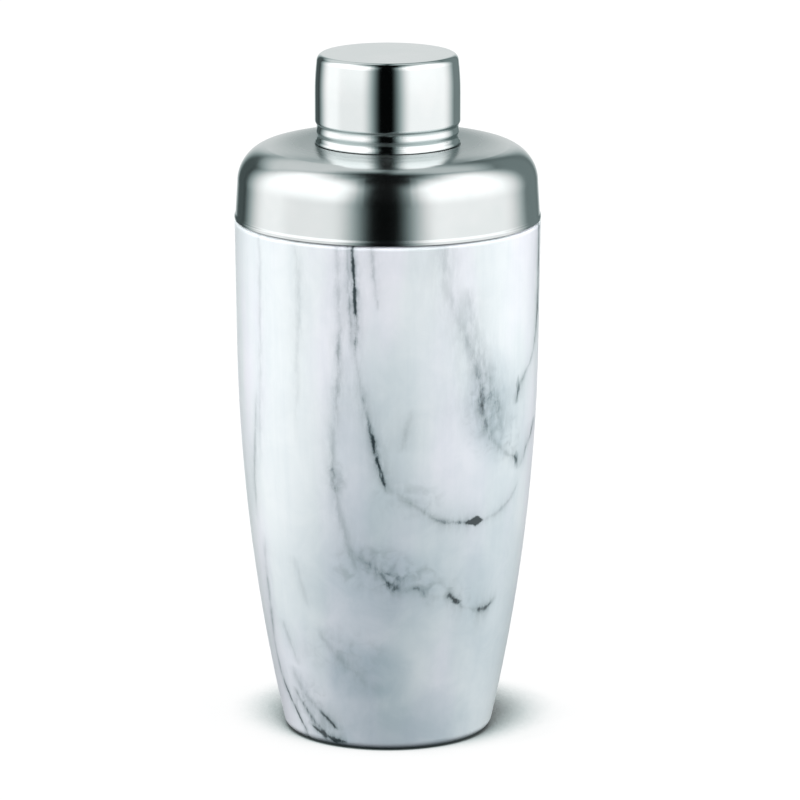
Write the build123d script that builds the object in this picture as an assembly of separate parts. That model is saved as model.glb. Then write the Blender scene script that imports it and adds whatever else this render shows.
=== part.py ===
from build123d import *
import os
from math import acos, atan, cos, degrees, pi, radians, sin

# Three-piece cocktail shaker: double-wall tumbler, strainer lid and cap.
# Millimetres, +Z up along the axis of revolution, origin at the centre of the foot ring.
# Every outline is drawn as (radius, height) and turned about Z.

# Sheet metal
SHELL_T = 0.6
CAP_T = 0.5

# Tumbler, outside
LIP_Z = 154.0
LIP_R = 44.9
LIP_ROLL = 1.2
STRAIGHT_Z = 117.0
STRAIGHT_R = 44.4
BELLY_END = (30.95, 2.66)
FOOT_CORNER = 3.4
FOOT_INNER_R = 25.4
FOOT_INNER_CORNER = 1.2
FOOT_FLANGE_Z = 2.6

# Tumbler, inside
MOUTH_R = LIP_R - LIP_ROLL
SEAT_DEPTH = 14.5
NECKING_ARC = 3.6
NECKING_ANGLE = 45.0
WALL_GAP = 3.0
LINER_BELLY_END = (30.4, 14.0)
LINER_CORNER = 10.0

# Base plate
PLATE_Z = 1.4
PLATE_STEP = 0.8
PLATE_STEP_R = 20.0

# Lid, outside
LID_GAP = 0.3
LID_Z = LIP_Z + LID_GAP
LID_R = 44.6
HEM_R = 44.95
HEM_HEIGHT = 0.6
HEM_STEP = 1.0
SHOULDER_Z = 165.0
SHOULDER_R = 44.05
SHOULDER_ARC = 11.0
CROWN_CENTRE_R = 27.0
CROWN_Z = 176.8

# Neck
NECK_ROOT_R = 20.5
NECK_FILLET = 0.9
NECK_Z = 195.6

# Plug ring and its seal
PLUG_R = 42.1
PLUG_DEPTH = 11.5
GROOVE_R = 40.9
GROOVE_TOP = 3.4
GROOVE_HEIGHT = 5.4
GROOVE_CORNER = 0.25
SEAL_RIM_R = 42.9
SEAL_ROOT_R = 41.9
SEAL_RIBS = 3
SEAL_SIDE_GAP = 0.3
SEAL_ROUNDING = 0.2

# Strainer
STRAINER_WALL_R = 18.1
STRAINER_DEPTH = 8.6
STRAINER_CORNER = 2.5
STRAINER_BROW = 0.4
STRAINER_FLANGE_R = 19.4
HOLE_R = 1.6
HOLE_RINGS = ((0.0, 1), (5.4, 6), (10.8, 12))

# Cap, with two soft beads rolled above its rim, as (radius, height above the rim)
CAP_RIM_Z = 176.6
CAP_BEADS = ((21.3, 0.0), (20.65, 2.0), (20.95, 3.4), (20.75, 4.9), (21.3, 6.6))
CAP_TAPER_Z = 191.0
CAP_TAPER_END = (20.75, 200.8)
CAP_CORNER = 2.2

# Cap seal
CAP_SEAL_Z = 184.0
CAP_SEAL_HEIGHT = 5.0
CAP_SEAL_R = CAP_BEADS[-1][0] - CAP_T
CAP_SEAL_ROOT_R = 20.1
CAP_SEAL_LIP_R = 19.65
CAP_SEAL_ROUNDING = 0.1


def turn(face):
    """Solid of revolution of a face drawn as (radius, height)."""
    return revolve(Plane.XZ * face, Axis.Z)


def wide(arc):
    """A spline along a wide arc, whose centre is past the axis, where a torus would cut itself."""
    return Spline(arc @ 0, arc @ 0.5, arc @ 1, tangents=[arc % 0, arc % 1])


def sheet(outline, thickness, side):
    """Face of even thickness along an open outline, on one side of it."""
    edges = offset(Curve() + list(outline), amount=thickness, side=side).edges()
    return make_face([wide(e) if e.geom_type == GeomType.OFFSET else e for e in edges])


def turn_angle(edge, direction):
    """Angle in degrees from an edge's end to a direction."""
    return degrees(acos(max(-1, min(1, (edge % 1).dot(Vector(*direction))))))


def step_over(start, run, rise):
    """Two equal arcs that start and end vertical and step sideways by run over rise."""
    angle = degrees(2 * atan(abs(run) / rise))
    radius = rise / (2 * sin(radians(angle)))
    if run > 0:
        angle = -angle
    first = JernArc(start, (0, 1), radius, angle)
    second = JernArc(first @ 1, first % 1, radius, -angle)
    return [first, second]


def make_outer_shell():
    lip_start = (MOUTH_R, LIP_Z)
    roll = JernArc(lip_start, (1, 0), LIP_ROLL, -90)
    wall = Line(roll @ 1, (STRAIGHT_R, STRAIGHT_Z))
    belly = wide(TangentArc(wall @ 1, BELLY_END, tangent=wall % 1))
    corner = JernArc(belly @ 1, belly % 1, FOOT_CORNER, -turn_angle(belly, (-1, 0)))
    foot = Line(corner @ 1, (FOOT_INNER_R + FOOT_INNER_CORNER, (corner @ 1).Y))
    flange_bend = JernArc(foot @ 1, (-1, 0), FOOT_INNER_CORNER, -90)
    flange = Line(flange_bend @ 1, (FOOT_INNER_R, FOOT_FLANGE_Z))
    outline = [roll, wall, belly, corner, foot, flange_bend, flange]
    return turn(sheet(outline, SHELL_T, Side.RIGHT))


def make_inner_liner():
    seat = Line((MOUTH_R, LIP_Z), (MOUTH_R, LIP_Z - SEAT_DEPTH))
    neck_in = JernArc(seat @ 1, (0, -1), NECKING_ARC, -NECKING_ANGLE)
    neck_down = JernArc(neck_in @ 1, neck_in % 1, NECKING_ARC, NECKING_ANGLE)
    wall = Line(neck_down @ 1, (STRAIGHT_R - WALL_GAP, STRAIGHT_Z))
    belly = wide(TangentArc(wall @ 1, LINER_BELLY_END, tangent=wall % 1))
    corner = JernArc(belly @ 1, belly % 1, LINER_CORNER, -turn_angle(belly, (-1, 0)))
    floor = Line(corner @ 1, (0, (corner @ 1).Y))
    return turn(sheet([seat, neck_in, neck_down, wall, belly, corner, floor], SHELL_T, Side.RIGHT))


def make_base_plate():
    panel_z = PLATE_Z + PLATE_STEP
    outline = Polyline(
        (FOOT_INNER_R, PLATE_Z),
        (PLATE_STEP_R, PLATE_Z),
        (PLATE_STEP_R - PLATE_STEP, panel_z),
        (0, panel_z),
        (0, panel_z + SHELL_T),
        (PLATE_STEP_R - PLATE_STEP, panel_z + SHELL_T),
        (PLATE_STEP_R, PLATE_Z + SHELL_T),
        (FOOT_INNER_R, PLATE_Z + SHELL_T),
        close=True,
    )
    return turn(make_face(outline))


def make_lid_dome():
    hem = Line((HEM_R, LID_Z), (HEM_R, LID_Z + HEM_HEIGHT))
    hem_step = step_over(hem @ 1, LID_R - HEM_R, HEM_STEP)
    wall = Line(hem_step[1] @ 1, (SHOULDER_R, SHOULDER_Z))

    # the crown's arc is tangent to the shoulder's arc and peaks at CROWN_Z
    centre_r = SHOULDER_R - SHOULDER_ARC
    rise = CROWN_Z - SHOULDER_Z - SHOULDER_ARC
    run = centre_r - CROWN_CENTRE_R
    reach = (run**2 + rise**2) / (2 * rise)
    sweep = acos(run / reach)
    crown_arc = SHOULDER_ARC + reach
    crown_centre_z = CROWN_Z - crown_arc

    def on_shoulder(angle):
        return (centre_r + SHOULDER_ARC * cos(angle), SHOULDER_Z + SHOULDER_ARC * sin(angle))

    def on_crown(r):
        return (r, crown_centre_z + (crown_arc**2 - (r - CROWN_CENTRE_R) ** 2) ** 0.5)

    shoulder = ThreePointArc(wall @ 1, on_shoulder(sweep / 2), on_shoulder(sweep))
    root = on_crown(NECK_ROOT_R)
    crown = wide(ThreePointArc(shoulder @ 1, on_crown((CROWN_CENTRE_R + centre_r) / 2), root))
    fillet_arc = JernArc(crown @ 1, crown % 1, NECK_FILLET, -turn_angle(crown, (0, 1)))
    neck = Line(fillet_arc @ 1, ((fillet_arc @ 1).X, NECK_Z))
    outline = [hem, *hem_step, wall, shoulder, crown, fillet_arc, neck]
    return turn(sheet(outline, SHELL_T, Side.LEFT))


def make_lid_plug():
    flange_z = LID_Z
    dome_inner_r = HEM_R - SHELL_T
    groove_low = flange_z - GROOVE_TOP - GROOVE_HEIGHT
    outline = FilletPolyline(
        (dome_inner_r, flange_z),
        (PLUG_R, flange_z),
        (PLUG_R, flange_z - GROOVE_TOP),
        (GROOVE_R, flange_z - GROOVE_TOP),
        (GROOVE_R, groove_low),
        (PLUG_R, groove_low),
        (PLUG_R, flange_z - PLUG_DEPTH),
        radius=GROOVE_CORNER,
    )
    return turn(sheet(outline.edges(), SHELL_T, Side.RIGHT))


def rib_points(root, tip, low, high, count):
    """Zigzag of rounded ribs between two heights."""
    step = (high - low) / count
    points = []
    for i in range(count):
        base = low + i * step
        points.append((root, base))
        points.append((tip, base + step / 2))
    points.append((root, high))
    return points


def make_lid_seal():
    low = LID_Z - GROOVE_TOP - GROOVE_HEIGHT + SEAL_SIDE_GAP
    high = LID_Z - GROOVE_TOP - SEAL_SIDE_GAP
    ribs = rib_points(SEAL_ROOT_R, SEAL_RIM_R, low, high, SEAL_RIBS)
    outline = Polyline((GROOVE_R, low), *ribs, (GROOVE_R, high), close=True)
    face = make_face(outline)
    tips = [v for v in face.vertices() if GROOVE_R < v.X]
    return turn(fillet(tips, SEAL_ROUNDING))


def make_cap_seal():
    low = CAP_SEAL_Z
    high = CAP_SEAL_Z + CAP_SEAL_HEIGHT
    ribs = rib_points(CAP_SEAL_ROOT_R, CAP_SEAL_LIP_R, low, high, SEAL_RIBS)
    outline = Polyline((CAP_SEAL_R, low), *ribs, (CAP_SEAL_R, high), close=True)
    face = make_face(outline)
    tips = [v for v in face.vertices() if v.X <= CAP_SEAL_ROOT_R + CAP_SEAL_ROUNDING]
    return turn(fillet(tips, CAP_SEAL_ROUNDING))


def make_strainer():
    floor_z = NECK_Z - STRAINER_DEPTH
    outline = FilletPolyline(
        (0, floor_z),
        (STRAINER_WALL_R - SHELL_T, floor_z),
        (STRAINER_WALL_R, NECK_Z),
        (STRAINER_FLANGE_R, NECK_Z),
        radius=(STRAINER_CORNER, STRAINER_BROW),
    )
    cup = turn(sheet(outline.edges(), SHELL_T, Side.LEFT))
    for ring_r, count in HOLE_RINGS:
        for i in range(count):
            angle = 2 * pi * i / count
            at = Pos(ring_r * cos(angle), ring_r * sin(angle), floor_z)
            cup -= at * Cylinder(HOLE_R, 4 * SHELL_T)
    return cup


def make_cap():
    outline = []
    for (low_r, low_z), (high_r, high_z) in zip(CAP_BEADS, CAP_BEADS[1:]):
        outline += step_over((low_r, CAP_RIM_Z + low_z), high_r - low_r, high_z - low_z)
    wall = Line(outline[-1] @ 1, (CAP_BEADS[-1][0], CAP_TAPER_Z))
    taper = wide(TangentArc(wall @ 1, CAP_TAPER_END, tangent=wall % 1))
    corner = JernArc(taper @ 1, taper % 1, CAP_CORNER, turn_angle(taper, (-1, 0)))
    top = Line(corner @ 1, (0, (corner @ 1).Y))
    return turn(sheet([*outline, wall, taper, corner, top], CAP_T, Side.LEFT))


NODES = {
    "outer_shell": make_outer_shell,
    "inner_liner": make_inner_liner,
    "base_plate": make_base_plate,
    "lid_dome": make_lid_dome,
    "lid_plug": make_lid_plug,
    "lid_seal": make_lid_seal,
    "strainer": make_strainer,
    "cap": make_cap,
    "cap_seal": make_cap_seal,
}

os.makedirs("parts", exist_ok=True)
for name, make in NODES.items():
    piece = make()
    piece.label = name
    export_step(piece, f"parts/{name}.step")
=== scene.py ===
from math import radians

import bpy
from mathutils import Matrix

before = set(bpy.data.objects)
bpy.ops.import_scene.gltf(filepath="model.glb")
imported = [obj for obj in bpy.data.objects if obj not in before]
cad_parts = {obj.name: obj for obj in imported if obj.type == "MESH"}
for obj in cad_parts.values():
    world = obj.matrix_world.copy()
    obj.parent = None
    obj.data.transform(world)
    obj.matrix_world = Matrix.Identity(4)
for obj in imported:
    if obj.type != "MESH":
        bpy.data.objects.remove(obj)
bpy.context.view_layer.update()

# ---------------------------------------------------------------- sizes

MM = 0.001
TUMBLER_HEIGHT = 160.0          # mm, height that the marble's curves are drawn over
FULL_TURN = 360.0

# camera, found from the ellipses of the rims
CAMERA_DISTANCE = 1.5984
CAMERA_HEIGHT = 0.4665
CAMERA_PITCH = 0.226            # radians below the horizon
CAMERA_SIDE = 0.0036            # the shaker stands a little left of the middle
CAMERA_LENS = 249.75
CAMERA_SENSOR = 36.0
CAMERA_CLIP = (0.05, 50.0)


# ---------------------------------------------------------------- node helpers

# a Mix node's sockets, which share their names between its data types
MIX_COLOUR_A = 6
MIX_COLOUR_B = 7
MIX_COLOUR_RESULT = 2
MIX_FLOAT_A = 2
MIX_FLOAT_B = 3

RING_NOISE = (1.0, 3.0, 0.65)   # scale, detail, roughness

class Shader:
    """A node tree with short ways to add nodes.

    A value is a number, a tuple or another node's socket.
    """

    def __init__(self, tree):
        self.tree = tree
        tree.nodes.clear()

    def node(self, kind, inputs=None, **settings):
        made = self.tree.nodes.new(kind)
        for key, value in settings.items():
            setattr(made, key, value)
        for key, value in (inputs or {}).items():
            self.feed(made.inputs[key], value)
        return made

    def feed(self, socket, value):
        if isinstance(value, bpy.types.NodeSocket):
            self.tree.links.new(value, socket)
        else:
            socket.default_value = value

    def math(self, operation, a, b=0.0, c=0.0, clamp=False):
        made = self.node("ShaderNodeMath", {0: a, 1: b, 2: c}, operation=operation, use_clamp=clamp)
        return made.outputs[0]

    def add(self, *values):
        total = values[0]
        for value in values[1:]:
            total = self.math("ADD", total, value)
        return total

    def times(self, a, b):
        return self.math("MULTIPLY", a, b)

    def minus(self, a, b):
        return self.math("SUBTRACT", a, b)

    def noise(self, vector, scale, detail=2.0, roughness=0.5, distortion=0.0):
        inputs = {
            "Vector": vector,
            "Scale": scale,
            "Detail": detail,
            "Roughness": roughness,
            "Distortion": distortion,
        }
        return self.node("ShaderNodeTexNoise", inputs).outputs["Fac"]

    def vector(self, x, y, z):
        return self.node("ShaderNodeCombineXYZ", {0: x, 1: y, 2: z}).outputs[0]

    def ramp(self, value, low, high, out_low=0.0, out_high=1.0):
        """Smooth step of a value from one range to another."""
        made = self.node(
            "ShaderNodeMapRange",
            {"Value": value, "From Min": low, "From Max": high, "To Min": out_low, "To Max": out_high},
            interpolation_type="SMOOTHSTEP",
        )
        return made.outputs["Result"]

    def mix(self, factor, a, b):
        made = self.node("ShaderNodeMix", {"Factor": factor}, data_type="RGBA")
        self.feed(made.inputs[MIX_COLOUR_A], a)
        self.feed(made.inputs[MIX_COLOUR_B], b)
        return made.outputs[MIX_COLOUR_RESULT]

    def mix_floats(self, factor, a, b):
        made = self.node("ShaderNodeMix", {"Factor": factor}, data_type="FLOAT")
        self.feed(made.inputs[MIX_FLOAT_A], a)
        self.feed(made.inputs[MIX_FLOAT_B], b)
        return made.outputs[0]

    def window(self, value, low, high, soft_low, soft_high):
        """1 between low and high, falling smoothly to 0 over each soft width."""
        rise = self.ramp(value, low - soft_low / 2, low + soft_low / 2)
        fall = self.ramp(value, high - soft_high / 2, high + soft_high / 2, 1.0, 0.0)
        return self.times(rise, fall)


class Surface(Shader):
    """A material on the shaker, with the cylinder coordinates of its patterns, in mm and degrees."""

    def __init__(self, name):
        self.material = bpy.data.materials.new(name)
        self.material.use_nodes = True
        super().__init__(self.material.node_tree)
        place = self.node("ShaderNodeTexCoord").outputs["Object"]
        mm = self.node("ShaderNodeVectorMath", {0: place, 1: (1 / MM,) * 3}, operation="MULTIPLY")
        self.place = mm.outputs[0]
        self.x, self.y, self.z = self.node("ShaderNodeSeparateXYZ", {0: self.place}).outputs
        self.radius = self.math("SQRT", self.add(self.times(self.x, self.x), self.times(self.y, self.y)))
        turn = self.math("ARCTAN2", self.x, self.times(self.y, -1.0))
        self.azimuth = self.math("DEGREES", turn)

    def finish(self, inputs, bump, bump_strength, bump_distance):
        shader = self.node("ShaderNodeBsdfPrincipled", inputs)
        settings = {"Strength": bump_strength, "Distance": bump_distance, "Height": bump}
        made = self.node("ShaderNodeBump", settings)
        self.feed(shader.inputs["Normal"], made.outputs[0])
        self.node("ShaderNodeOutputMaterial", {"Surface": shader.outputs[0]})
        return self.material

    def rings(self, across, along):
        """Fine lines round the axis: across is lines per mm, along how fast they change round the turn."""
        height = self.times(self.add(self.z, self.radius), across)
        place = self.vector(self.times(self.x, along), self.times(self.y, along), height)
        return self.noise(place, *RING_NOISE)


# ---------------------------------------------------------------- steel and silicone

# colours between which each finish varies
CAP_TINTS = ((0.90, 0.93, 0.93, 1), (0.95, 0.965, 0.965, 1))
DOME_TINTS = ((0.79, 0.82, 0.82, 1), (0.84, 0.855, 0.855, 1))
DOME_CORNER_TINT = (0.40, 0.46, 0.46, 1)
BRUSHED_TINTS = ((0.50, 0.52, 0.53, 1), (0.72, 0.735, 0.74, 1))
SILICONE_TINTS = ((0.30, 0.32, 0.33, 1), (0.42, 0.44, 0.45, 1))

SMEAR_RANGE = (0.35, 0.7)       # how much of the smears' noise turns into colour
NECK_CORNER = (24.0, 40.0)      # mm, radii over which the dome turns darker and rougher towards the neck

# bumps: strength, height in m
CAP_BUMP = (0.03, 0.00002)
DOME_BUMP = (0.05, 0.00003)
BRUSHED_BUMP = (0.25, 0.00006)
SILICONE_BUMP = (0.12, 0.00005)


def metal(s, tint, roughness, lines, bump):
    return s.finish({"Base Color": tint, "Metallic": 1.0, "Roughness": roughness}, lines, *bump)


def polished_steel():
    """Mirror-polished stainless steel, with the faint lines of the polishing wheel."""
    s = Surface("polished_steel_finish")
    lines = s.rings(3.0, 0.05)
    smears = s.noise(s.place, 0.06, 3.0, 0.6)
    roughness = s.add(0.045, s.times(lines, 0.03), s.times(smears, 0.04))
    tint = s.mix(s.ramp(smears, *SMEAR_RANGE), *CAP_TINTS)
    return metal(s, tint, roughness, lines, CAP_BUMP)


def dome_steel():
    """The same polish after spinning: softer and darker than the cap, and darker and rougher towards the
    neck.
    """
    s = Surface("dome_steel_finish")
    lines = s.rings(2.2, 0.04)
    smears = s.noise(s.place, 0.05, 3.0, 0.6)
    corner = s.ramp(s.radius, *NECK_CORNER, 1.0, 0.0)
    roughness = s.add(0.085, s.times(lines, 0.05), s.times(smears, 0.05), s.times(corner, 0.16))
    tint = s.mix(s.ramp(smears, *SMEAR_RANGE), *DOME_TINTS)
    # darker towards the neck, under the cap
    tint = s.mix(corner, tint, DOME_CORNER_TINT)
    return metal(s, tint, roughness, lines, DOME_BUMP)


def brushed_steel():
    """Satin stainless steel with lathe lines, as the inside of the tumbler and the plug are."""
    s = Surface("brushed_steel_finish")
    fine = s.rings(9.0, 0.08)
    broad = s.rings(1.3, 0.03)
    roughness = s.add(0.24, s.times(fine, 0.16), s.times(broad, 0.06))
    return metal(s, s.mix(fine, *BRUSHED_TINTS), roughness, fine, BRUSHED_BUMP)


def silicone():
    """Grey food-grade silicone: matt, slightly cloudy, with a dusty bloom."""
    s = Surface("silicone_finish")
    cloud = s.noise(s.place, 0.35, 3.0, 0.55)
    grain = s.noise(s.place, 6.0, 2.0, 0.6)
    inputs = {
        "Base Color": s.mix(cloud, *SILICONE_TINTS),
        "Roughness": s.add(0.5, s.times(grain, 0.18)),
        "Subsurface Weight": 0.15,
        "Subsurface Scale": 0.001,
        "Sheen Weight": 0.1,
    }
    return s.finish(inputs, grain, *SILICONE_BUMP)


# ---------------------------------------------------------------- marble

# Veins that run down the tumbler, from the top down:
# (height mm, azimuth degrees, half width mm, strength). Azimuth 0 faces the front and grows to the right.
FALLING_VEINS = {
    "main": [
        (156, -12.8, 0.5, 0.5), (152, -12.8, 0.5, 0.62), (148, -12.8, 0.55, 0.75), (138, -12.4, 0.55, 0.75),
        (133, -12, 0.55, 0.6), (126, -11.8, 0.55, 0.5), (122, -11.8, 0.7, 0.25), (116, -11, 1.0, 0.18),
        (111, -10, 1.1, 0.4), (104, -7.6, 1.1, 0.42), (98, -5.6, 0.85, 0.65), (93, -4.3, 0.8, 0.85),
        (87, -2.4, 0.75, 0.8), (83, -1, 0.6, 0.4), (81, 0, 0.5, 0.0),
    ],
    "main_twin": [
        (155, -15.2, 0.5, 0.35), (147, -15, 0.45, 0.16), (141, -14.6, 0.45, 0.22), (130, -14, 0.45, 0.16),
        (124, -13.4, 0.4, 0.0),
    ],
    "beside_main": [
        (156, -19, 1.0, 0.16), (140, -18.6, 1.1, 0.22), (130, -18, 1.0, 0.24), (122, -18.2, 0.9, 0.36),
        (112, -19, 1.1, 0.3), (100, -20.5, 1.3, 0.24), (90, -21.8, 1.1, 0.3), (84, -21, 1.1, 0.34),
        (76, -19.5, 1.3, 0.25), (68, -17, 1.5, 0.25), (60, -14, 1.5, 0.2), (54, -11, 1.4, 0.0),
    ],
    "short_faint": [
        (156, -5.6, 0.6, 0.2), (145, -4.8, 0.6, 0.28), (139, -4, 0.5, 0.2), (135, -3.6, 0.5, 0.0),
    ],
    "broad_right": [
        (156, 21, 2.6, 0.16), (150, 21.5, 2.8, 0.22), (142, 22, 2.8, 0.16), (134, 26.5, 2.6, 0.16),
        (126, 30.5, 2.0, 0.26), (119, 34.5, 2.0, 0.28), (112, 37, 2.0, 0.32), (105, 38, 2.6, 0.38),
        (99, 41, 2.2, 0.36), (93, 47, 1.8, 0.3), (89, 54, 1.6, 0.28), (86, 60, 1.3, 0.36),
        (83, 62, 1.0, 0.0),
    ],
    "broad_right_twin": [
        (142, 31, 2.0, 0.0), (134, 32, 2.2, 0.16), (124, 36, 2.2, 0.16), (114, 41, 2.6, 0.2),
        (106, 45, 2.8, 0.26),
        (99, 49, 1.8, 0.18), (95, 52, 1.2, 0.0),
    ],
    "turn_up": [
        (128, 80, 1.2, 0.6), (121, 76.5, 1.1, 0.5), (115, 71, 1.0, 0.3), (111, 64, 1.2, 0.36),
        (107, 60, 1.0, 0.45), (103, 58, 0.9, 0.0),
    ],
    "edge_right": [
        (96, 80, 1.4, 0.0), (92, 75, 1.2, 0.5), (88, 69, 1.0, 0.4), (85, 66, 0.9, 0.2),
        (82, 62, 0.9, 0.0),
    ],
    "stroke_middle": [(107, 9, 1.0, 0.0), (103, 8.2, 1.1, 0.14), (98, 6.6, 1.1, 0.2), (93, 5.4, 1.0, 0.0)],
    "edge_left": [
        (64, -62, 0.8, 0.0), (50, -64, 0.9, 0.3), (38, -66, 1.0, 0.35), (28, -68, 0.9, 0.25),
        (19, -66, 0.8, 0.45),
        (10, -58, 0.7, 0.6), (3, -51, 0.7, 0.7),
    ],
    "left_high": [(108, -60, 0.8, 0.0), (96, -62, 0.8, 0.25), (80, -66, 0.8, 0.3), (66, -68, 0.8, 0.0)],
    "left_low": [(60, -43, 1.2, 0.0), (54, -41, 1.3, 0.14), (48, -38.6, 1.2, 0.12), (43, -37, 1.0, 0.0)],
    "left_lower": [(38, -56, 1.0, 0.0), (33, -53, 1.1, 0.22), (28, -49.5, 1.0, 0.2), (24, -47.5, 1.0, 0.0)],
    "foot_left": [
        (24, -53, 1.4, 0.0), (19, -49.5, 1.7, 0.26), (14.5, -43, 1.7, 0.3), (11, -36, 1.4, 0.45),
        (8.4, -31, 1.0, 0.6),
        (6, -28, 0.8, 0.0),
    ],
    "foot_left_twin": [
        (17, -55, 1.0, 0.0), (13, -50, 1.4, 0.36), (9, -45, 1.3, 0.4), (6, -40, 1.0, 0.3),
        (4, -36, 0.8, 0.0),
    ],
    "wisp_left": [(156, -56, 0.9, 0.1), (136, -56, 1.0, 0.16), (110, -57, 1.1, 0.16), (80, -60, 1.0, 0.0)],
    "wisp_left_inner": [
        (156, -36, 1.2, 0.12), (140, -35, 1.3, 0.16), (118, -36, 1.2, 0.12), (92, -38, 1.0, 0.0),
    ],
}

# Veins that run round the tumbler, from left to right:
# (azimuth degrees, height mm, half width mm, strength).
CROSSING_VEINS = {
    "diagonal": [
        (-17, 63, 1.4, 0.0), (-9, 60, 1.6, 0.22), (-4, 57.5, 1.8, 0.4), (2, 52.5, 1.6, 0.42),
        (7, 51, 1.3, 0.25),
        (12, 51.5, 1.1, 0.34), (17, 49, 1.2, 0.32), (22, 48.5, 0.9, 0.12), (26, 48.6, 1.0, 0.5),
        (30, 46.8, 1.1, 0.66),
        (33.5, 45, 0.9, 0.5), (37, 44, 0.6, 0.1), (42, 42.8, 1.0, 0.55), (47, 42.4, 1.1, 0.62),
        (52, 43.8, 0.8, 0.4),
        (56, 45, 0.7, 0.0),
    ],
    "diamond_tail": [
        (-2, 84, 1.2, 0.0), (4, 81, 1.4, 0.16), (10, 77.5, 1.3, 0.24), (16, 74.5, 1.1, 0.34),
        (22, 72, 1.0, 0.42),
        (29, 70.8, 0.8, 0.5), (34, 70.4, 0.8, 0.7), (40, 70.2, 0.7, 0.55), (45, 70.6, 0.8, 0.2),
        (54, 73, 0.9, 0.3),
        (59, 75, 0.8, 0.25), (64, 79, 0.8, 0.0),
    ],
    "cloud_edge": [
        (-34, 38, 1.8, 0.0), (-28, 33, 2.2, 0.16), (-21, 28.5, 2.4, 0.26), (-15, 24.5, 2.4, 0.2),
        (-8, 21, 2.2, 0.1),
        (0, 20, 2.0, 0.0),
    ],
    "foot": [
        (-47, 6.0, 0.7, 0.0), (-41, 4.4, 0.9, 0.7), (-34, 3.0, 1.1, 1.0), (-28, 2.2, 1.0, 1.0),
        (-23, 2.0, 0.8, 0.0),
    ],
}

# Veins on the side that faces away, in the same two forms.
BACK_FALLING_VEINS = {
    "back_main": [
        (156, 148, 1.2, 0.5), (140, 150, 0.9, 0.7), (122, 157, 1.2, 0.35), (104, 160, 0.8, 0.9),
        (88, 169, 1.0, 0.6),
        (70, 172, 1.6, 0.3), (48, 176, 1.2, 0.5), (30, 176, 0.8, 0.0),
    ],
    "back_left": [
        (140, -104, 0.8, 0.0), (128, -106, 1.0, 0.5), (112, -112, 1.6, 0.4), (96, -114, 1.0, 0.8),
        (78, -123, 1.2, 0.4),
        (60, -127, 1.8, 0.25), (40, -131, 1.0, 0.4), (22, -138, 0.8, 0.0),
    ],
    "back_right": [
        (120, 96, 0.8, 0.0), (104, 99, 1.6, 0.4), (86, 106, 1.0, 0.6), (66, 109, 1.4, 0.3),
        (44, 118, 1.0, 0.5),
        (24, 121, 0.9, 0.0),
    ],
}
BACK_CROSSING_VEINS = {
    "back_branch": [
        (104, 100, 0.8, 0.0), (118, 94, 1.0, 0.5), (134, 92, 1.4, 0.3), (150, 84, 0.9, 0.8),
        (166, 80, 1.0, 0.0),
    ],
    "back_low": [
        (-172, 52, 0.8, 0.0), (-158, 46, 1.4, 0.45), (-142, 44, 0.9, 0.8), (-124, 36, 1.2, 0.3),
        (-104, 34, 0.8, 0.0),
    ],
}

# Spots: (azimuth degrees, height mm, half width mm, half height mm, strength)
SPOTS = [
    (37.6, 70.3, 2.5, 1.5, 1.0),      # the dark diamond
    (60.0, 86.6, 1.4, 2.2, 0.3),
    (59.2, 109.0, 1.1, 2.6, 0.3),
    (31.0, 46.4, 1.8, 1.0, 0.4),
]

# Patches of short broken strokes: (azimuth degrees, height mm, half width mm, half height mm, strength)
FLECKS = [
    (-7.0, 58.0, 11.0, 6.5, 0.3),
    (9.0, 54.0, 9.0, 5.0, 0.4),
    (28.0, 49.0, 8.0, 4.0, 0.25),
    (40.0, 104.0, 7.0, 12.0, 0.3),
    (52.0, 94.0, 8.0, 6.0, 0.28),
    (-20.5, 85.0, 3.5, 5.0, 0.35),
    (-13.0, 140.0, 2.0, 14.0, 0.25),
    (-45.0, 13.0, 8.0, 8.0, 0.25),
    (-22.0, 31.0, 13.0, 8.0, 0.16),
    (8.0, 79.0, 10.0, 5.0, 0.2),
    (172.0, 78.0, 12.0, 12.0, 0.4),
    (-118.0, 92.0, 9.0, 12.0, 0.4),
    (108.0, 88.0, 9.0, 12.0, 0.35),
]

# Soft grey patches, most of them clouds in the stone: (azimuth degrees, height mm, half width mm, half
# height mm, strength)
CLOUDS = [
    (-16.0, 27.0, 14.0, 11.0, 0.17),
    (-9.0, 25.0, 12.0, 8.0, 0.2),
    (-4.0, 52.0, 19.0, 12.0, 0.16),
    # these two darken the lower front, towards the foot
    (4.0, 32.0, 42.0, 46.0, 0.34),
    (5.0, 4.0, 24.0, 14.0, 0.3),
    (-5.0, 98.0, 13.0, 28.0, 0.2),
    (16.0, 84.0, 34.0, 44.0, 0.17),
    (10.0, 140.0, 30.0, 30.0, 0.07),
    (44.0, 104.0, 10.0, 14.0, 0.22),
    (56.0, 92.0, 12.0, 26.0, 0.16),
    (58.0, 44.0, 16.0, 26.0, 0.16),
    (172.0, 60.0, 20.0, 26.0, 0.4),
    (-112.0, 92.0, 16.0, 24.0, 0.35),
    (112.0, 112.0, 18.0, 20.0, 0.3),
]
FOOT_PAINTED_SHADE_HEIGHTS = (0.3, 2.4)         # mm, heights between which painted shade darkens the foot's rounded edge, standing in for the contact shadow it reflects

# colours of the print, and last the painted shade on the foot's rounded edge
GROUND_WARM = (0.87, 0.87, 0.93, 1)
GROUND_COOL = (0.84, 0.88, 0.90, 1)
MOTTLE_GREY = (0.42, 0.53, 0.60, 1)
CLOUD_GREY = (0.24, 0.36, 0.43, 1)
VEIN_GREY = (0.12, 0.18, 0.2, 1)
VEIN_DARK = (0.022, 0.035, 0.042, 1)
# painted shade, not print: the dark of the foot's rounded edge next to the floor
FOOT_PAINTED_SHADE_COLOUR = (0.02, 0.04, 0.05, 1)

# how far the coordinates wander, and the noise that moves them: mm or degrees, then noise settings
BROAD_WANDER = 2.4
BROAD_NOISE = {"Scale": 0.08, "Detail": 2.0}
FINE_WANDER = 1.4
FINE_NOISE = {"Scale": 0.7, "Detail": 4.0, "Roughness": 0.65}

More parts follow.
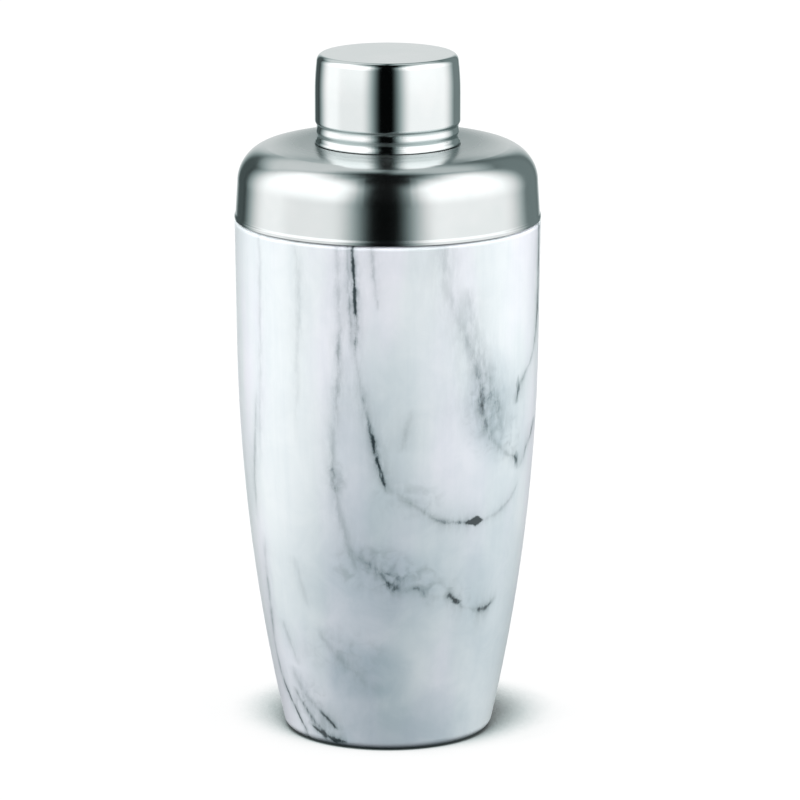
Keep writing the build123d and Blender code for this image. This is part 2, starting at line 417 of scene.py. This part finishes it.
# noise patterns: scale, detail, roughness, distortion
BREAKUP_NOISE = (0.5, 5.0, 0.65)
STROKE_NOISE = (0.26, 3.0, 0.5, 0.6)
MOTTLE_NOISE = (0.09, 5.0, 0.6, 0.6)
STREAK_NOISE = (0.28, 4.0, 0.6)
TINT_NOISE = (0.05, 2.0)
GRAIN_NOISE = (1.6, 3.0, 0.6)
BREAKUP_STRETCH = 0.3           # patterns are this much slower down the tumbler than across it
STREAK_STRETCH = 0.06
MOTTLE_STRENGTH = 0.075
MARBLE_BUMP = (0.03, 0.00003)   # strength, height in m

VEIN_WIDTH_RANGE = 4.0          # mm, the widest half width that a vein's curve can say
CORE_POWER = -1.7               # how steeply a vein fades outwards
HALO_WIDTH = 4.0                # times the vein's half width
HALO_STRENGTH = 0.36
HEIGHT_SPAN = (0.0, TUMBLER_HEIGHT)
TURN_SPAN = (-FULL_TURN / 2, FULL_TURN)


def vein_curve(s, along, span, centre_span, points):
    """A vein's centre, half width and strength, each 0..1, as smooth curves of how far along it is."""
    curves = s.node("ShaderNodeRGBCurve", {"Color": along})
    curves.mapping.extend = "HORIZONTAL"
    low, size = span
    centre_low, centre_size = centre_span
    ordered = sorted(points)
    columns = [
        [(p[1] - centre_low) / centre_size for p in ordered],
        [p[2] / VEIN_WIDTH_RANGE for p in ordered],
        [p[3] for p in ordered],
    ]
    for column, curve in zip(columns, curves.mapping.curves):
        places = [((p[0] - low) / size, value) for p, value in zip(ordered, column)]
        curve.points[0].location = places[0]
        curve.points[1].location = places[-1]
        for place in places[1:-1]:
            curve.points.new(*place)
        for point in curve.points:
            point.handle_type = "AUTO_CLAMPED"
    curves.mapping.update()
    return s.node("ShaderNodeSeparateColor", {0: curves.outputs[0]}).outputs


def arc_length(s, azimuth, centre):
    """Distance round the tumbler from a centre, the short way, in mm."""
    turn = s.math("WRAP", s.minus(azimuth, centre), FULL_TURN / 2, -FULL_TURN / 2)
    return s.times(turn, s.times(s.radius, radians(1.0)))


def vein(s, points, falling, height, azimuth):
    """How dark a vein makes each point. A falling vein follows height, a crossing one azimuth."""
    if falling:
        along = s.times(height, 1 / TUMBLER_HEIGHT)
        centre, width, strength = vein_curve(s, along, HEIGHT_SPAN, TURN_SPAN, points)
        centre_degrees = s.times(s.minus(centre, 0.5), FULL_TURN)
        across = arc_length(s, azimuth, centre_degrees)
    else:
        along = s.add(s.times(azimuth, 1 / FULL_TURN), 0.5)
        centre, width, strength = vein_curve(s, along, TURN_SPAN, HEIGHT_SPAN, points)
        across = s.minus(height, s.times(centre, TUMBLER_HEIGHT))
    ratio = s.math("DIVIDE", across, s.times(width, VEIN_WIDTH_RANGE))
    squared = s.times(ratio, ratio)
    core = s.math("POWER", s.add(squared, 1.0), CORE_POWER)
    halo = s.math("POWER", s.add(s.times(squared, HALO_WIDTH**-2), 1.0), CORE_POWER)
    return s.times(s.add(core, s.times(halo, HALO_STRENGTH)), strength)


def patch(s, place, height, azimuth, power, edge):
    """A soft ellipse when power is 2, and nearer to a diamond as power falls to 1."""
    at_azimuth, at_height, half_width, half_height, strength = place
    across = arc_length(s, azimuth, at_azimuth)
    u = s.math("POWER", s.math("ABSOLUTE", s.times(across, 1 / half_width)), power)
    v = s.math("POWER", s.math("ABSOLUTE", s.times(s.minus(height, at_height), 1 / half_height)), power)
    return s.ramp(s.add(u, v), 1 + edge, 1 - edge, 0.0, strength)


def wander(s, value, broad, fine):
    broadly = s.times(s.minus(broad, 0.5), BROAD_WANDER)
    finely = s.times(s.minus(fine, 0.5), FINE_WANDER)
    return s.add(value, broadly, finely)


def marble():
    """Lacquered marble print: cool white ground, clouds, broad soft veins and a few dark ones."""
    s = Surface("marble_finish_print")

    # the coordinates wander, broadly and then finely, so that no vein is a clean curve
    broad = s.node("ShaderNodeTexNoise", {"Vector": s.place, **BROAD_NOISE})
    fine = s.node("ShaderNodeTexNoise", {"Vector": s.place, **FINE_NOISE})
    broad_x, broad_y, _ = s.node("ShaderNodeSeparateColor", {0: broad.outputs["Color"]}).outputs
    fine_x, fine_y, _ = s.node("ShaderNodeSeparateColor", {0: fine.outputs["Color"]}).outputs
    azimuth = wander(s, s.azimuth, broad_x, fine_x)
    height = wander(s, s.z, broad_y, fine_y)

    stretched = s.vector(s.x, s.y, s.times(s.z, BREAKUP_STRETCH))
    breakup = s.ramp(s.noise(stretched, *BREAKUP_NOISE), 0.32, 0.62, 0.45, 1.15)

    dark = 0.0
    for points in [*FALLING_VEINS.values(), *BACK_FALLING_VEINS.values()]:
        dark = s.add(dark, vein(s, points, True, height, azimuth))
    for points in [*CROSSING_VEINS.values(), *BACK_CROSSING_VEINS.values()]:
        dark = s.add(dark, vein(s, points, False, height, azimuth))
    dark = s.times(dark, breakup)
    strokes = s.ramp(s.noise(s.place, *STROKE_NOISE), 0.4, 0.78)
    flecks = 0.0
    for fleck in FLECKS:
        flecks = s.add(flecks, patch(s, fleck, height, azimuth, 2.0, 0.8))
    dark = s.add(dark, s.times(flecks, strokes))
    for spot in SPOTS:
        dark = s.add(dark, patch(s, spot, height, azimuth, 1.2, 0.45))

    mottle = s.ramp(s.noise(s.place, *MOTTLE_NOISE), 0.32, 0.68)
    drawn_out = s.vector(s.x, s.y, s.times(s.z, STREAK_STRETCH))
    streaks = s.ramp(s.noise(drawn_out, *STREAK_NOISE), 0.42, 0.7)
    grey = 0.0
    for cloud in CLOUDS:
        grey = s.add(grey, patch(s, cloud, height, azimuth, 2.0, 0.95))
    grey = s.times(grey, s.add(0.85, s.times(mottle, 0.15)))

    tints = s.ramp(s.noise(stretched, *TINT_NOISE), 0.38, 0.62)
    ground = s.mix(tints, GROUND_WARM, GROUND_COOL)
    ground = s.mix(s.times(s.add(mottle, streaks), MOTTLE_STRENGTH), ground, MOTTLE_GREY)
    ground = s.mix(grey, ground, CLOUD_GREY)
    shade = s.math("MULTIPLY", dark, 1.0, clamp=True)
    soft = s.mix(s.math("POWER", shade, 0.9), ground, VEIN_GREY)
    colour = s.mix(s.ramp(shade, 0.4, 1.1), soft, VEIN_DARK)
    # painted shade: the foot's rounded edge turns dark towards the floor, for the contact shadow it would
    # reflect
    colour = s.mix(s.ramp(s.z, *FOOT_PAINTED_SHADE_HEIGHTS), FOOT_PAINTED_SHADE_COLOUR, colour)

    grain = s.noise(s.place, *GRAIN_NOISE)
    inputs = {
        "Base Color": colour,
        "Roughness": s.add(0.30, s.times(grain, 0.06)),
        "Coat Weight": 0.35,
        "Coat Roughness": 0.12,
    }
    return s.finish(inputs, grain, *MARBLE_BUMP)


# ---------------------------------------------------------------- dress the CAD nodes

FINISHES = [
    (marble, ["outer_shell"]),
    (polished_steel, ["cap"]),
    (dome_steel, ["lid_dome"]),
    (brushed_steel, ["inner_liner", "base_plate", "lid_plug", "strainer"]),
    (silicone, ["lid_seal", "cap_seal"]),
]


def dress():
    for make, nodes in FINISHES:
        material = make()
        for name in nodes:
            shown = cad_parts[name]
            shown.data.materials.clear()
            shown.data.materials.append(material)


# ---------------------------------------------------------------- floor, light and camera

FLOOR_SIZE = 8.0                # m
FLOOR_MATT = 0.1
FLOOR_GLOW = 0.84               # the floor shines by itself, to be as pale as the background
# the floor's contact shadow is painted into its own glow, not cast by a lamp
SHADOW_REACH = 0.036            # m, how far from the foot its contact shadow can be seen
SHADOW_DEPTH = 0.97
SHADOW_SAMPLES = 16
SHADOW_RANGE = (0.48, 0.81)
SHADOW_TINT = (0.72, 1.0, 1.0, 1)
SHADOW_LEAN = (-0.12, -0.75, 0.9)  # the shadow lies behind and at the sides, more to the right


def floor():
    bpy.ops.mesh.primitive_plane_add(size=FLOOR_SIZE)
    plane = bpy.context.object
    plane.name = "floor"
    plane.visible_glossy = False
    plane.visible_diffuse = False
    material = bpy.data.materials.new("floor_paper")
    material.use_nodes = True
    s = Shader(material.node_tree)
    # painted shadow: an ambient-occlusion node darkens and tints the floor's glow near the foot, behind it
    # and at its sides
    lean = s.node("ShaderNodeVectorMath", {0: SHADOW_LEAN}, operation="NORMALIZE").outputs[0]
    reach = {"Distance": SHADOW_REACH, "Normal": lean}
    near = s.node("ShaderNodeAmbientOcclusion", reach, samples=SHADOW_SAMPLES)
    painted_shadow_fade = s.ramp(near.outputs["AO"], *SHADOW_RANGE, 1.0 - SHADOW_DEPTH, 1.0)
    matt = s.node("ShaderNodeBsdfDiffuse", {"Color": (FLOOR_MATT,) * 3 + (1,)})
    tint = s.mix(painted_shadow_fade, SHADOW_TINT, WHITE)
    strength = s.times(painted_shadow_fade, FLOOR_GLOW)
    glow = s.node("ShaderNodeEmission", {"Color": tint, "Strength": strength})
    both = s.node("ShaderNodeAddShader", {0: matt.outputs[0], 1: glow.outputs[0]})
    s.node("ShaderNodeOutputMaterial", {"Surface": both.outputs[0]})
    plane.data.materials.append(material)


# The room, by direction in degrees. Azimuth 0 is the front and grows to the right;
# elevation is above the horizon.
# Each soft box: (azimuth from, to, soft widths), strength low down and high up.
# All fade out upwards, and lower down beside the dark slit.
SOFT_BOXES = [
    ((-125, -84, 40, 16), 1.0, 1.3),
    ((-84, -27, 16, 33), 0.85, 1.3),
    ((23, 121, 34, 48), 0.95, 1.3),
]
BOX_BRIGHTENS = (-16, 26)       # elevations between which low strength becomes high strength
BOX_FOOT = (-42, 30)            # elevation, soft width
BOX_TOP = (67, 34)
BOX_TOP_AT_SLIT = 51
SLIT_TO_TOP = (14, 62)          # azimuths over which the top climbs
# Each grey panel behind: (azimuth from, to, soft widths), (elevation from, to, soft widths), strength
BACK_PANELS = [
    ((-176, -124, 14, 20), (26, 68, 22, 20), 0.68),
    ((124, 176, 20, 14), (42, 74, 26, 20), 0.56),
    ((-170, -140, 20, 10), (-60, 30, 20, 30), 0.08),
    ((122, 165, 30, 30), (-60, 42, 20, 20), 0.21),
]
BACKDROP = (-20, 30, 20, 24)
BACKDROP_STRENGTH = 0.72
BACKDROP_HALF_WIDTH = (26, 6)
ROOM_FILL = 0.0015
DIM_TINT = (0.76, 1.0, 1.0, 1)
BRIGHT_TINT = (0.985, 1.0, 1.0, 1)

# what matt surfaces get instead: the same boxes, stronger, with a soft light above
MATT_BOXES = 2.25
MATT_FLOOR = 0.2
MATT_FILL = 0.22
OVERHEAD = 2.5
OVERHEAD_RISE = (25.0, 75.0)    # elevations over which the overhead light grows
FLOOR_EDGE = (-8.0, 14.0)       # elevations over which the floor gives way to the room

BRIGHT = 0.9                    # light from which a mirror shows the bright tint
WHITE = (1, 1, 1, 1)


def studio():
    """A room of soft boxes either side of the camera, a dark slit and ceiling, and grey panels behind."""
    world = bpy.data.worlds.new("studio")
    bpy.context.scene.world = world
    world.use_nodes = True
    s = Shader(world.node_tree)
    direction = s.node("ShaderNodeTexCoord").outputs["Generated"]
    x, y, z = s.node("ShaderNodeSeparateXYZ", {0: direction}).outputs
    azimuth = s.math("DEGREES", s.math("ARCTAN2", x, s.times(y, -1.0)))
    elevation = s.math("DEGREES", s.math("ARCSINE", z))
    off_front = s.math("ABSOLUTE", azimuth)

    sides = 0.0
    seen_sides = 0.0
    for box, low_strength, high_strength in SOFT_BOXES:
        side = s.window(azimuth, *box)
        sides = s.add(sides, side)
        strength = s.ramp(elevation, *BOX_BRIGHTENS, low_strength, high_strength)
        seen_sides = s.add(seen_sides, s.times(side, strength))
    top = s.ramp(off_front, *SLIT_TO_TOP, BOX_TOP_AT_SLIT, BOX_TOP[0])
    above_top = s.minus(elevation, top)
    upper = s.ramp(above_top, -BOX_TOP[1] / 2, BOX_TOP[1] / 2, 1.0, 0.0)
    lower = s.ramp(elevation, BOX_FOOT[0] - BOX_FOOT[1] / 2, BOX_FOOT[0] + BOX_FOOT[1] / 2)
    boxes = s.times(seen_sides, s.times(upper, lower))

    from_back = s.minus(180.0, off_front)
    sweep = s.times(s.ramp(from_back, *BACKDROP_HALF_WIDTH), s.window(elevation, *BACKDROP))
    light = s.math("MAXIMUM", boxes, s.times(sweep, BACKDROP_STRENGTH))
    for across, heights, strength in BACK_PANELS:
        panel = s.times(s.window(azimuth, *across), s.window(elevation, *heights))
        light = s.math("MAXIMUM", light, s.times(panel, strength))
    light = s.add(light, ROOM_FILL)

    overhead = s.ramp(elevation, *OVERHEAD_RISE, 0.0, OVERHEAD)
    above_floor = s.ramp(elevation, *FLOOR_EDGE, MATT_FLOOR, 1.0)
    matt_light = s.add(s.times(s.add(s.times(sides, MATT_BOXES), MATT_FILL), above_floor), overhead)
    rays = s.node("ShaderNodeLightPath").outputs
    seen = s.mix_floats(rays["Is Diffuse Ray"], light, matt_light)
    strength = s.mix_floats(rays["Is Camera Ray"], seen, 1.0)
    brightness = s.math("MAXIMUM", s.ramp(light, 0.0, BRIGHT), rays["Is Diffuse Ray"])
    tint = s.mix(brightness, DIM_TINT, BRIGHT_TINT)
    tint = s.mix(rays["Is Camera Ray"], tint, WHITE)
    background = s.node("ShaderNodeBackground", {"Color": tint, "Strength": strength})
    s.node("ShaderNodeOutputWorld", {"Surface": background.outputs[0]})


def camera():
    data = bpy.data.cameras.new("camera")
    data.lens = CAMERA_LENS
    data.sensor_width = CAMERA_SENSOR
    data.clip_start, data.clip_end = CAMERA_CLIP
    eye = bpy.data.objects.new("camera", data)
    eye.location = (CAMERA_SIDE, -CAMERA_DISTANCE, CAMERA_HEIGHT)
    eye.rotation_euler = (radians(90) - CAMERA_PITCH, 0, 0)
    bpy.context.collection.objects.link(eye)
    bpy.context.scene.camera = eye


dress()
floor()
studio()
camera()
bpy.context.scene.view_settings.view_transform = "Standard"
